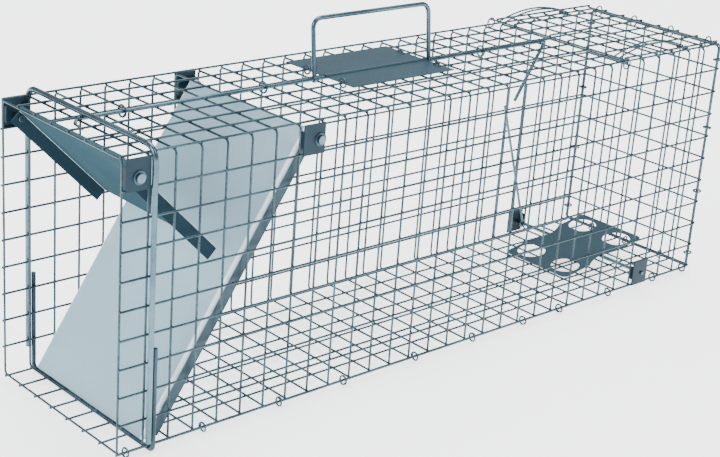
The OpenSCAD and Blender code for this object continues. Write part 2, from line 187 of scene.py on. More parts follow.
@dataclass
class Surface:
    """Vertices and faces that grow as shells are added, in millimetres from the corner."""

    points: list[Array] = field(default_factory=list)
    quads: list[Array] = field(default_factory=list)
    tris: list[Array] = field(default_factory=list)
    count: int = 0

    def add(self, points: Array, quads: Array, tris: Array = NO_TRIS) -> None:
        """Adds one closed shell.

        Args:
            points: The shell's vertices.
            quads: Its four-sided faces, as rows of vertex numbers.
            tris: Its three-sided faces, as rows of vertex numbers.
        """
        self.points.append(points)
        self.quads.append(quads + self.count)
        self.tris.append(tris + self.count)
        self.count += len(points)

    def build(self, name: str) -> bpy.types.Object:
        """Makes one smooth-shaded object from all shells.

        Args:
            name: Name of the object.

        Returns:
            The object, at the origin.
        """
        points = CAGE.row(np.concatenate(self.points))
        quads = np.concatenate(self.quads).astype(np.int32)
        tris = np.concatenate(self.tris).astype(np.int32)
        mesh = bpy.data.meshes.new(name)
        mesh.vertices.add(len(points))
        mesh.vertices.foreach_set("co", points.astype(np.float32).ravel())
        corners = np.concatenate([quads.ravel(), tris.ravel()])
        starts = np.concatenate([
            np.arange(len(quads)) * 4, len(quads) * 4 + np.arange(len(tris)) * 3
        ])
        mesh.loops.add(len(corners))
        mesh.loops.foreach_set("vertex_index", corners)
        mesh.polygons.add(len(starts))
        mesh.polygons.foreach_set("loop_start", starts.astype(np.int32))
        mesh.update(calc_edges=True)
        mesh.validate()
        mesh.shade_smooth()
        mesh.set_sharp_from_angle(angle=math.radians(SHARP_DEG))
        return stand(name, mesh)


def frames_along(path: Array) -> tuple[Array, Array, Array]:
    """Finds a frame at each point of a path that doesn't twist about it.

    The tangent is the mean of the two neighbouring steps. The side vector is the last one
    with its part along the new tangent taken away, and the third is their cross product.

    Args:
        path: Points of the path.

    Returns:
        Tangents, side vectors and third vectors, one row for each point.
    """
    steps = np.diff(path, axis=0)
    steps /= np.linalg.norm(steps, axis=1, keepdims=True)
    tangents = np.vstack([steps[:1], steps[:-1] + steps[1:], steps[-1:]])
    tangents /= np.linalg.norm(tangents, axis=1, keepdims=True)
    helper = np.eye(3)[np.argmin(np.abs(tangents[0]))]
    sides = np.empty_like(tangents)
    last = helper
    for i, tangent in enumerate(tangents):
        last = last - tangent * np.dot(last, tangent)
        last = last / np.linalg.norm(last)
        sides[i] = last
    return tangents, sides, np.cross(tangents, sides)


def sweep(surface: Surface, path: Sequence, radius: float, around: int = 10,
          dome: float = 0.35) -> None:
    """Carries a circle along a path and closes both ends with a low dome.

    Each ring is the path's point plus radius times (cos a * side + sin a * third), where a
    runs once around. Each end has a smaller ring, pushed out, and a pole.

    Args:
        surface: Where the shell goes.
        path: Points of the path.
        radius: Radius of the bar.
        around: Number of points around the bar.
        dome: Height of the end domes, in radii.
    """
    path = np.asarray(path, float)
    tangents, sides, thirds = frames_along(path)
    a = np.linspace(0, 2 * np.pi, around, endpoint=False)
    circle = (np.cos(a)[None, :, None] * sides[:, None]
              + np.sin(a)[None, :, None] * thirds[:, None])
    body = path[:, None] + radius * circle
    out = tangents[[0, -1]] * radius * dome * np.array([[-1.0], [1.0]])
    ends = path[[0, -1]] + out * DOME_RING_OUT
    first, last = ends[:, None] + DOME_RING_R * radius * circle[[0, -1]]
    rings = np.concatenate([first[None], body, last[None]])
    n = len(rings)
    points = np.concatenate([rings.reshape(-1, 3), path[[0, -1]] + out])
    j, k = closed(around)
    base = np.arange(n - 1)[:, None] * around
    quads = np.stack([base + j, base + k, base + around + k, base + around + j], axis=-1)
    low, high = n * around, n * around + 1
    caps = np.concatenate([
        np.stack([np.full(around, low), k, j], axis=-1),
        np.stack([np.full(around, high), (n - 1) * around + j, (n - 1) * around + k], axis=-1),
    ])
    surface.add(points, quads.reshape(-1, 4), caps)


def torus(surface: Surface, centre: Sequence, axis: int, radius: float, tube: float,
          turns: float = 1.0, rise: float = 0.0, start: float = 0.0, steps: int = 28) -> None:
    """Bends a round wire around one of the three directions, as a ring or a helix.

    A point is the centre plus radius times the unit vector at angle a in the plane across
    the axis, plus rise times a / 360 degrees along it.

    Args:
        surface: Where the shell goes.
        centre: Middle of the first turn.
        axis: Direction the wire goes around: 0, 1 or 2.
        radius: Radius to the middle of the wire.
        tube: Radius of the wire.
        turns: Number of turns.
        rise: Step along the axis for each turn.
        start: Angle of the first point, in degrees.
        steps: Points for each turn.
    """
    a = math.radians(start) + np.linspace(0, 2 * np.pi * turns, int(steps * turns) + 1)
    path = np.zeros((len(a), 3))
    path[:, (axis + 1) % 3] = radius * np.cos(a)
    path[:, (axis + 2) % 3] = radius * np.sin(a)
    path[:, axis] = rise * (a - a[0]) / (2 * np.pi)
    sweep(surface, path + np.asarray(centre, float), tube, around=8)


def corner(a: Sequence, b: Sequence, c: Sequence, radius: float, steps: int = 6) -> Array:
    """Rounds the corner at b on the way from a to c.

    The arc's centre lies on the corner's bisector, so that the arc touches both lines.

    Args:
        a: Point before the corner.
        b: The corner.
        c: Point after the corner.
        radius: Radius of the arc.
        steps: Number of chords in the arc.

    Returns:
        The arc's points.
    """
    a, b, c = (np.asarray(p, float) for p in (a, b, c))
    u = (a - b) / np.linalg.norm(a - b)
    v = (c - b) / np.linalg.norm(c - b)
    half = math.acos(float(np.clip(np.dot(u, v), -1, 1))) / 2
    middle = (u + v) / np.linalg.norm(u + v)
    centre = b + middle * radius / math.sin(half)
    p = b + u * radius / math.tan(half) - centre
    q = b + v * radius / math.tan(half) - centre
    total = math.pi - 2 * half
    t = np.linspace(0, 1, steps + 1)[:, None]
    return centre + (np.sin((1 - t) * total) * p + np.sin(t * total) * q) / math.sin(total)


def rounded(points: Sequence, radius: float, steps: int = 6) -> Array:
    """Joins points by straight lines with a rounded bend at each inner one.

    Args:
        points: The line's corners.
        radius: Radius of each bend.
        steps: Number of chords in each bend.

    Returns:
        Points along the line.
    """
    parts = [np.asarray(points[0], float)[None]]
    for a, b, c in zip(points, points[1:], points[2:]):
        parts.append(corner(a, b, c, radius, steps))
    parts.append(np.asarray(points[-1], float)[None])
    return np.concatenate(parts)


def beads(surface: Surface, centres: Sequence, radius: float) -> None:
    """Puts one small weld bead at each centre.

    A bead is a ball of six by four patches: a point is the centre plus radius times the
    unit vector at longitude u and latitude v.

    Args:
        surface: Where the shells go.
        centres: Middles of the beads.
        radius: Radius of a bead.
    """
    n = BEAD_SIDES
    u = np.linspace(0, 2 * np.pi, n, endpoint=False)
    v = np.array([-BEAD_BELT, 0.0, BEAD_BELT])[:, None]
    ring = np.stack([np.cos(v) * np.cos(u), np.cos(v) * np.sin(u),
                     np.repeat(np.sin(v), n, axis=1)], axis=-1).reshape(-1, 3)
    ball = np.concatenate([ring, [[0, 0, -1], [0, 0, 1]]]) * radius
    j, k = closed(n)
    quads = np.concatenate([np.stack([r + j, r + k, r + n + k, r + n + j], -1) for r in (0, n)])
    low, high = 3 * n, 3 * n + 1
    tris = np.concatenate([np.stack([np.full(n, low), k, j], -1),
                           np.stack([np.full(n, high), 2 * n + j, 2 * n + k], -1)])
    offsets = (np.arange(len(centres)) * len(ball))[:, None, None]
    surface.add((np.asarray(centres)[:, None] + ball[None]).reshape(-1, 3),
                (quads[None] + offsets).reshape(-1, 4), (tris[None] + offsets).reshape(-1, 3))


# ---- Finishes ----


class Socket:
    """A node's output that takes part in Python sums, each of which adds a Math node."""

    def __init__(self, dress: "Dress", link: bpy.types.NodeSocket) -> None:
        """Keeps the material being dressed and the output."""
        self.dress = dress
        self.link = link

    def _maths(self, operation: str, a: "Value", b: "Value") -> "Socket":
        """Adds one Math node for a and b, or for numbers."""
        return self.dress.node("ShaderNodeMath", {"operation": operation}, {0: a, 1: b})

    def __add__(self, other: "Value") -> "Socket":
        """Adds."""
        return self._maths("ADD", self, other)

    __radd__ = __add__

    def __sub__(self, other: "Value") -> "Socket":
        """Takes away."""
        return self._maths("SUBTRACT", self, other)

    def __rsub__(self, other: "Value") -> "Socket":
        """Takes this from a number."""
        return self._maths("SUBTRACT", other, self)

    def __mul__(self, other: "Value") -> "Socket":
        """Multiplies."""
        return self._maths("MULTIPLY", self, other)

    __rmul__ = __mul__


Value = Socket | float | tuple


class Dress:
    """Node tree of one material, with a method that adds any node."""

    def __init__(self, name: str) -> None:
        """Starts a material with a Principled shader and its output.

        Args:
            name: Name of the material.
        """
        self.material = bpy.data.materials.new(name)
        self.material.use_nodes = True
        self.tree = self.material.node_tree
        self.shader = self.tree.nodes["Principled BSDF"]

    def put(self, target: bpy.types.NodeSocket, value: Value) -> None:
        """Sets or links one input socket.

        Args:
            target: The input.
            value: The output to link to it, or its fixed value.
        """
        if isinstance(value, Socket):
            self.tree.links.new(value.link, target)
        else:
            target.default_value = value

    def node(self, kind: str, settings: dict, inputs: dict, output: int | str = 0) -> Socket:
        """Adds a node.

        Args:
            kind: The node's type.
            settings: Its properties.
            inputs: Values or links of its sockets, by number or name.
            output: Which output is wanted.

        Returns:
            That output.
        """
        made = self.tree.nodes.new(kind)
        for key, value in settings.items():
            setattr(made, key, value)
        for key, value in inputs.items():
            self.put(made.inputs[key], value)
        return Socket(self, made.outputs[output])

    def noise(self, scale: float, detail: float, roughness: float = 0.5) -> Socket:
        """Gives a soft noise over the object's own coordinates.

        Args:
            scale: Patches to the metre.
            detail: Number of finer layers.
            roughness: How strong the finer layers are.

        Returns:
            The noise, mostly between 0.3 and 0.7.
        """
        where = self.node("ShaderNodeTexCoord", {}, {}, "Object")
        inputs = {"Vector": where, "Scale": scale, "Detail": detail, "Roughness": roughness}
        return self.node("ShaderNodeTexNoise", {}, inputs)

    def fix(self, **numbers: float | tuple) -> None:
        """Sets shader inputs that are the same all over, with _ for each space in a name."""
        for name, number in numbers.items():
            self.shader.inputs[name.replace("_", " ")].default_value = number

    def ramp(self, factor: Socket, low: float, high: float) -> Socket:
        """Stretches a value so that low becomes 0 and high becomes 1."""
        return self.node("ShaderNodeMapRange", {"clamp": True},
                         {"Value": factor, "From Min": low, "From Max": high})

    def mix(self, factor: Value, a: Value, b: Value) -> Socket:
        """Mixes two colours, by the Mix node's colour sockets."""
        return self.node("ShaderNodeMix", {"data_type": "RGBA"}, {0: factor, 6: a, 7: b}, 2)


@dataclass(frozen=True)
class Zinc:
    """Galvanised steel: zinc over steel, cloudy in tone and slightly uneven.

    The tone is a mix of two colours by a soft noise, and the gloss varies with a finer one.
    Where flange and bend colours are given, shade is painted on the flanges and a highlight on
    the bends.
    """

    name: str
    bright: Triple
    dull: Triple
    metal: float = 0.75
    rough: float = 0.38
    rough_spread: float = 0.14
    cloud: float = 26.0
    grain: float = 420.0
    grain_depth: float = 0.05
    grain_height: float = 0.0006
    cloud_share: float = 0.8
    # flange is a painted shade colour for faces turned to the sides; bend is a painted highlight
    # colour for the bends
    flange: Triple | None = None
    bend: Triple | None = None
    shine: float = 0.5

    def folded(self, d: Dress, colour: Socket) -> Socket:
        """Changes the tone where the sheet turns to the side: painted flange shade, bend
        highlight.

        With t the size of the normal's y, the flange's painted shade comes in as t goes from 0.9
        to 0.98. The bend's painted highlight comes in from 0.1 to 0.3 and goes out from 0.75 to
        0.9.

        Args:
            d: The material being made.
            colour: Tone of the flat sheet.

        Returns:
            The tone with painted flange shade and a painted bend highlight.
        """
        normal = d.node("ShaderNodeNewGeometry", {}, {}, "Normal")
        y = d.node("ShaderNodeSeparateXYZ", {}, {0: normal}, "Y")
        t = d.node("ShaderNodeMath", {"operation": "ABSOLUTE"}, {0: y})
        # painted shade: faces turned to the sides take the dark flange colour
        colour = d.mix(d.ramp(t, 0.9, 0.98), colour, (*self.flange, 1))
        # painted highlight: the bends between face and flange take the pale bend colour
        strip = d.ramp(t, 0.1, 0.3) * (1 - d.ramp(t, 0.75, 0.9))
        return d.mix(strip, colour, (*self.bend, 1))

    def make(self) -> bpy.types.Material:
        """Makes the material.

        Returns:
            The new material.
        """
        d = Dress(self.name)
        cloud = d.noise(self.cloud, 3.0, 0.55)
        fine = d.noise(self.grain, 2.0)
        tone = d.ramp(cloud * self.cloud_share + fine * (1 - self.cloud_share), 0.36, 0.64)
        colour = d.mix(tone, (*self.dull, 1), (*self.bright, 1))
        # paints shade on the flanges and a highlight on the bends, where both colours are given
        if self.flange and self.bend:
            colour = self.folded(d, colour)
        d.put(d.shader.inputs["Base Color"], colour)
        d.put(d.shader.inputs["Roughness"], self.rough + (fine - 0.5) * (2 * self.rough_spread))
        d.fix(Metallic=self.metal, Specular_IOR_Level=self.shine)
        bump = d.node("ShaderNodeBump", {}, {
            "Strength": self.grain_depth, "Distance": self.grain_height, "Height": fine})
        d.put(d.shader.inputs["Normal"], bump)
        return d.material


class Finish(Enum):
    """The finishes of this trap."""

    WIRE = Zinc("galvanised_wire_zinc", (0.05, 0.1, 0.125), (0.015, 0.036, 0.05), metal=0.5,
                rough=0.3, shine=0.4)
    ROD = Zinc("galvanised_rod_zinc", (0.13, 0.21, 0.25), (0.045, 0.095, 0.125), metal=0.85,
               rough=0.24, cloud=18)
    DARK_ROD = Zinc("dull_rod_zinc", (0.045, 0.09, 0.12), (0.015, 0.04, 0.055), metal=0.5,
                    rough=0.36, shine=0.35)
    RING = Zinc("ring_wire_zinc", (0.075, 0.135, 0.17), (0.02, 0.05, 0.07), metal=0.8, rough=0.28)
    SPRING = Zinc("spring_wire_zinc", (0.055, 0.105, 0.135), (0.018, 0.045, 0.06), metal=0.7,
                  rough=0.3)
    BRACKET = Zinc("bracket_sheet_zinc", (0.009, 0.033, 0.05), (0.005, 0.021, 0.034), metal=0.05,
                   rough=0.42, shine=0.2)
    PIN = Zinc("pin_steel_zinc", (0.15, 0.22, 0.26), (0.05, 0.1, 0.13), metal=0.95, rough=0.24)
    WASHER = Zinc("washer_steel_zinc", (0.045, 0.095, 0.125), (0.016, 0.045, 0.062), metal=0.7,
                  rough=0.3)
    SHEET = Zinc("galvanised_sheet_zinc", (0.019, 0.06, 0.083), (0.012, 0.042, 0.06), metal=0.08,
                 rough=0.4, cloud=9, shine=0.3)
    # lock plate: its flange colour is painted shade and its bend colour a painted highlight
    LOCK = Zinc("lock_plate_sheet_zinc", (0.045, 0.083, 0.102), (0.03, 0.061, 0.078), metal=0.0,
                rough=0.6, cloud=7, shine=0.0, flange=(0.02, 0.042, 0.058),
                bend=(0.55, 0.68, 0.74))
    # door: its dark flange colour is painted shade and its near-white bend colour a painted
    # highlight
    DOOR = Zinc("door_sheet_zinc", (0.46, 0.67, 0.78), (0.37, 0.57, 0.68), metal=0.25, rough=0.42,
                rough_spread=0.06, cloud=5, grain_depth=0.02, flange=(0.013, 0.045, 0.066),
                bend=(0.95, 0.98, 1.0))

    def material(self) -> bpy.types.Material:
        """Gives this finish's material, made once."""
        return bpy.data.materials.get(self.value.name) or self.value.make()


def dress(obj: bpy.types.Object, finish: Finish) -> None:
    """Gives an object one finish all over.

    Args:
        obj: The object.
        finish: Its finish.
    """
    if not obj.material_slots:
        obj.data.materials.append(finish.material())
    for slot in obj.material_slots:
        slot.link = "OBJECT"
        slot.material = finish.material()


def hand_over(piece: bpy.types.Object, finish: Finish, body: str, slot: str,
              *nodes: str) -> None:
    """Dresses a new piece, sets it on its body and lets it stand for CAD nodes.

    Args:
        piece: The new piece.
        finish: Its finish.
        body: The CAD body it moves with.
        slot: Name of a material slot; not used.
        *nodes: The CAD nodes it stands for.
    """
    dress(piece, finish)
    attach(piece, body)
    if nodes:
        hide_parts(*nodes)
    log.info("%s: %d faces on %s", piece.name, len(piece.data.polygons), body)


# ---- Sub-assemblies ----


def clips(name: str, node: str, rings: Iterable[tuple], tube: float = 0.9,
          turns: float = 1.1, rise: float = 1.0) -> None:
    """Makes one piece of wire rings, each closed with its ends side by side.

    A ring starts half a turn's rise before its centre.

    Args:
        name: Name of the piece.
        node: The CAD node it stands for.
        rings: Centre, axis, radius and first angle of each ring.
        tube: Radius of the wire.
        turns: Number of turns of each ring.
        rise: Step along the axis for each turn.
    """
    surface = Surface()
    for centre, axis, radius, start in rings:
        first = np.array(centre, float)
        first[axis] -= rise / 2
        torus(surface, first, axis, radius, tube, turns, rise, start)
    hand_over(surface.build(name), Finish.RING, "cage", "ring_wire", node)


@dataclass
class MeshCage:
    """Folded cage of welded mesh, its rear panel and the rings of its seams."""

    bead: float = 1.25
    ring_r: float = 4.0
    cut_end: float = 0.1
    seam_cells: tuple[float, ...] = (0.3, 3.4, 6.7, 9.7, 13.3, 16.4, 19.3, 21.5, 24.6, 27.6, 29.7)
    upright_cells: tuple[float, ...] = (0.6, 3.5, 6.4, 9.4)
    level_cells: tuple[float, ...] = (1.5, 3.5, 5.5)

    def cross_paths(self, i: int) -> list[Array]:
        """Gives the path of cross wire i: once around the cage, from seam to seam.

        Over the bait opening the wire is cut after each upper fold.

        Args:
            i: Number of the wire.

        Returns:
            One path, or two where the wire is cut.
        """
        c = CAGE
        x, w, h, r = i * c.pitch, c.width, c.height, c.fold_r
        loop = [(x, -c.wire_r, 0), (x, w, 0), (x, w, h), (x, 0, h), (x, 0, c.wire_r + c.gap)]
        if i <= c.open_from or i == c.long_cells:
            return [rounded(loop, r)]
        return [rounded([*loop[:3], (x, w - r - self.cut_end, h)], r - c.gap),
                rounded([(x, r + self.cut_end, h), *loop[3:]], r - c.gap)]

    def long_wires(self) -> list[tuple[tuple[float, float], float]]:
        """Gives each long wire's place across the cage, and its rear end.

        Returns:
            Pairs of (y, z) and the x of the wire's end.
        """
        c = CAGE
        end, cut = c.length + c.wire_r, c.open_from * c.pitch + c.wire_r
        across = [j * c.pitch for j in range(c.wide_cells)]
        up = [k * c.pitch for k in range(c.high_cells)]
        top, last = c.height + c.layer, c.width - c.inset
        wires = [((y, -c.layer), end) for y in (*across, last)]
        wires += [((c.width + c.layer, z), end) for z in up[1:]]
        wires += [((y, top), cut) for y in across[1:]]
        wires += [((y, top), end) for y in (c.inset, last)]
        return wires + [((-c.layer, z), end) for z in up]

    def build_mesh(self) -> None:
        """Makes the folded mesh: cross wires, long wires and a bead at each crossing."""
        c = CAGE
        mesh = Surface()
        for i in range(c.long_cells + 1):
            for path in self.cross_paths(i):
                sweep(mesh, path, c.wire_r)
        spots = []
        for (y, z), end in self.long_wires():
            xs = np.linspace(-c.wire_r, end, 5)
            sweep(mesh, np.stack([xs, np.full_like(xs, y), np.full_like(xs, z)], 1), c.wire_r)
            inward = np.array([np.clip(y, 0, c.width), np.clip(z, 0, c.height)])
            middle = (np.array([y, z]) + inward) / 2
            last = int(end // c.pitch)
            spots += [(i * c.pitch, *middle) for i in range(last + 1)]
        beads(mesh, spots, self.bead)
        hand_over(mesh.build("cage_mesh"), Finish.WIRE, "cage", "mesh_wire",
                  "cage_floor", "cage_far_side", "cage_top", "cage_near_side")

    def build_rear(self) -> None:
        """Makes the rear panel: upright wires, level wires behind them, and beads."""
        c = CAGE
        x = c.length + c.layer
        panel = Surface()
        spots = []
        for j in range(c.wide_cells + 1):
            sweep(panel, [(x, j * c.pitch, -c.wire_r), (x, j * c.pitch, c.height + c.wire_r)],
                  c.wire_r)
        for k in range(c.high_cells + 1):
            sweep(panel, [(x + c.layer, -c.wire_r, k * c.pitch),
                          (x + c.layer, c.width + c.wire_r, k * c.pitch)], c.wire_r)
            spots += [(x + c.layer / 2, j * c.pitch, k * c.pitch) for j in range(c.wide_cells + 1)]
        beads(panel, spots, self.bead)
        hand_over(panel.build("rear_mesh"), Finish.WIRE, "cage", "mesh_wire", "rear_panel")

    def build_rings(self) -> None:
        """Makes the rings of the seams, each with its ends turned another way."""
        p, r, x = CAGE.pitch, self.ring_r, CAGE.length
        clips("seam_clips", "seam_rings",
              [((i * p, -1, -1), 0, r, 200 + 37 * i) for i in self.seam_cells],
              turns=1.12, rise=1.2)
        clips("rear_clips", "rear_panel_rings",
              [((x + 1, y, k * p), 2, r, 40 * k)
               for y in (0, CAGE.width) for k in self.upright_cells]
              + [((x + CAGE.layer, j * p, 0), 1, r + CAGE.gap, 60 * j)
                 for j in self.level_cells])


@dataclass(frozen=True)
class BentRod:
    """Rod bent twice across the cage. Its place and its two feet are in cells."""

    name: str
    node: str
    finish: Finish
    radius: float
    bend: float
    cell: float
    feet: tuple[float, float]
    steps: int
    around: int

    def build(self, level: float) -> None:
        """Makes the rod: along the near side, across at one level, along the far side.

        Args:
            level: Height of its middle part.
        """
        c = CAGE
        out = c.skin + c.gap
        x, near, far = self.cell * c.pitch, -out - self.radius, c.width + out + self.radius
        path = rounded([(x, near, self.feet[0] * c.pitch), (x, near, level), (x, far, level),
                        (x, far, self.feet[1] * c.pitch)], self.bend, self.steps)
        rod = Surface()
        sweep(rod, path, self.radius, self.around, dome=0.2)
        hand_over(rod.build(self.name), self.finish, "cage", "rod", self.node)


@dataclass
class FrontFrame:
    """Bent rods around the entrance: the loop over it and the brace under the floor."""

    loop: BentRod = BentRod("front_loop", "front_frame_loop", Finish.ROD, radius=2.5, bend=12.0,
                            cell=1.07, feet=(0.15, 0.7), steps=10, around=20)
    brace: BentRod = BentRod("floor_brace", "floor_brace_rod", Finish.DARK_ROD, radius=2.0,
                             bend=5.0, cell=1.27, feet=(3.5, 3.5), steps=8, around=16)

    def build(self) -> None:
        """Makes the loop over the trigger rod and the brace against the floor's wires."""
        c = CAGE
        self.loop.build(c.rod[1] + c.rod_r + self.loop.radius + 2 * c.gap)
        self.brace.build(-(c.skin + c.gap) - self.brace.radius)


@dataclass
class Handle:
    """Carry handle, the guard's rings and the rings that hold the trigger rod."""

    feet: tuple[float, float] = (10.8, 16.55)
    rise: float = 2.18
    bend: float = 9.0
    bar_r: float = 2.2
    lean_deg: float = 7.0
    eye_r: float = 2.62
    eye_wire_r: float = 0.78
    guard_cells: tuple[float, float] = (11.46, 16.2)
    guard_lines: tuple[int, int] = (3, 5)
    rod_cells: tuple[float, ...] = (2.6, 8.5, 19.5)
    guard_ring_r: float = 4.0
    rod_ring_r: float = 5.05
    eye_step: float = 0.85
    foot_sunk: float = 0.4
    guard_ring_lift: float = 0.2
    rod_ring_off: tuple[float, float] = (1.9, -0.3)

    def lean(self, points: Array) -> Array:
        """Leans points over about the trigger rod's line, towards the far side.

        With a the lean, y becomes y cos a + z sin a and z becomes z cos a - y sin a.

        Args:
            points: Points counted from the rod's line.

        Returns:
            Points counted from the cage's corner.
        """
        a = math.radians(self.lean_deg)
        x, y, z = np.asarray(points, float).T
        line_y, line_z = CAGE.rod
        return np.stack([x, line_y + y * math.cos(a) + z * math.sin(a),
                         line_z + z * math.cos(a) - y * math.sin(a)], axis=1)

    def build(self) -> None:
        """Makes the handle: a bar bent twice, with eyes of three rings around the trigger rod."""
        c = CAGE
        x0, x1 = (f * c.pitch for f in self.feet)
        top = self.rise * c.pitch
        foot = self.eye_r + self.eye_wire_r - self.foot_sunk
        path = rounded([(x0, 0, foot), (x0, 0, top), (x1, 0, top), (x1, 0, foot)], self.bend, 10)
        bar = Surface()
        sweep(bar, self.lean(path), self.bar_r, around=18, dome=0.1)
        for x in (x0, x1):
            for step in (-self.eye_step, 0.0, self.eye_step):
                torus(bar, (x + step, *c.rod), 0, self.eye_r, self.eye_wire_r)
        hand_over(bar.build("handle_bar"), Finish.ROD, "handle", "rod", "carry_handle")

    def build_rings(self) -> None:
        """Makes the guard's four rings and the trigger rod's three."""
        p, (y, z), (beside, above) = CAGE.pitch, CAGE.rod, self.rod_ring_off
        top = CAGE.height + CAGE.layer + self.guard_ring_lift
        clips("guard_clips", "guard_rings",
              [((i * p, j * p, top), 0, self.guard_ring_r, 230)
               for i in self.guard_cells for j in self.guard_lines])
        clips("rod_clips", "trigger_rod_rings",
              [((i * p, y + beside, z + above), 0, self.rod_ring_r, 200)
               for i in self.rod_cells])


@dataclass
class Trigger:
    """Trigger rod with its crank and its front hook."""

    front: float = 0.88
    bend: float = 3.2
    lean_deg: float = 32.0
    crank_start: float = 585.0
    crank_end: float = 7.75
    hook_r: float = 1.0
    hook_gap: float = 0.02
    hook_knee: tuple[float, float] = (-2.2, -1.1)
    hook_reach: float = 5.2
    hook_bend: float = 1.6
    hook_end: float = 9.74

    def build(self) -> None:
        """Makes the rod as one bar with its bend, and the hook of doubled wire."""
        c = CAGE
        y, z = c.rod
        lean = math.radians(self.lean_deg)
        drop = z - self.crank_end * c.pitch
        peak = self.crank_start + self.bend / math.tan((math.pi / 2 - lean) / 2)
        path = rounded([(self.front * c.pitch, y, z), (peak, y, z),
                        (peak - drop * math.tan(lean), y, z - drop)], self.bend, 10)
        rod = Surface()
        sweep(rod, path, c.rod_r, around=16, dome=0.3)
        hand_over(rod.build("trigger_bar"), Finish.ROD, "trigger", "rod", "trigger_rod")
        x = self.front * c.pitch - self.hook_r - c.gap
        hook = Surface()
        for s in (-1, 1):
            side = y + s * (self.hook_r + self.hook_gap)
            knee = (x + self.hook_knee[0], side, c.height + self.hook_knee[1])
            tip = (x + self.hook_reach, side, self.hook_end * c.pitch)
            sweep(hook, rounded([(x, side, z), knee, tip], self.hook_bend, 5), self.hook_r)
        hand_over(hook.build("front_hook"), Finish.ROD, "trigger", "rod", "trigger_hook")


@dataclass
class TripArm:
    """Pivot rod of the trip pan and the arm that stands on it."""

    rod_r: float = 2.0
    arm_r: float = 1.5
    pivot: tuple[float, float] = (26.6, 0.45)
    arm_y: float = 171.8
    tip: Triple = (21.45, 4.02, 7.5)
    overhang: float = 5.9

    def build(self) -> None:
        """Makes the rod across the cage and the arm, which starts in a coil around it."""
        c = CAGE
        x, z = (p * c.pitch for p in self.pivot)
        rod = Surface()
        sweep(rod, [(x, -self.overhang, z), (x, c.width + self.overhang, z)], self.rod_r,
              around=16, dome=0.25)
        hand_over(rod.build("pan_rod"), Finish.ROD, "pan", "rod", "pan_pivot_rod")
        eye = self.rod_r + c.gap + self.arm_r
        foot = np.array([x, self.arm_y, z])
        tip = np.array(self.tip) * c.pitch
        along = (tip - foot) / np.linalg.norm(tip - foot)
        arm = Surface()
        torus(arm, foot, 1, eye, self.arm_r)
        sweep(arm, [foot + along * eye, tip], self.arm_r, around=12)
        hand_over(arm.build("trip_arm_bar"), Finish.ROD, "pan", "rod", "trip_arm")


